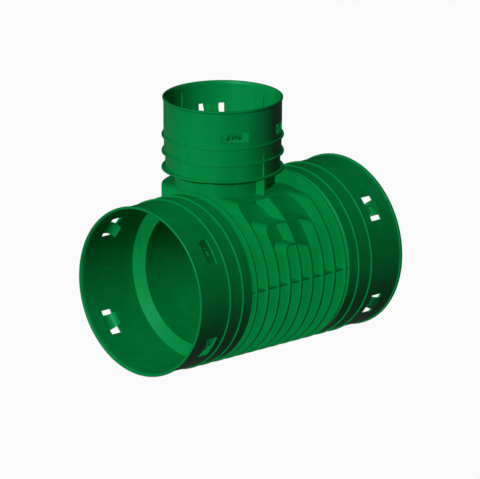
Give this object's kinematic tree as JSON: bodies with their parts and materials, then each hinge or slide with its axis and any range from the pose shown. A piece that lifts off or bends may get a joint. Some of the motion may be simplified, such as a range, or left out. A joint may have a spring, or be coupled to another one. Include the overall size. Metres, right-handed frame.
{
  "type": "reducing tee",
  "caption": "Moulded plastic reducing tee for corrugated drainage pipe: a long socketed run with a smaller socketed branch, outer fins and clip windows.",
  "frame": {"origin": "middle of the run's axis, half-way between its two rims", "axes": "+X along the run towards one of its two equal ends, +Z along the branch towards its rim, -Y towards the front, the side that the branch is set back from"},
  "size_m": [0.3, 0.183, 0.2711],
  "materials": {
    "green_plastic": "satin"
  },
  "bodies": {
    "root": {"tee_body": "green_plastic"}
  },
  "joints": []
}
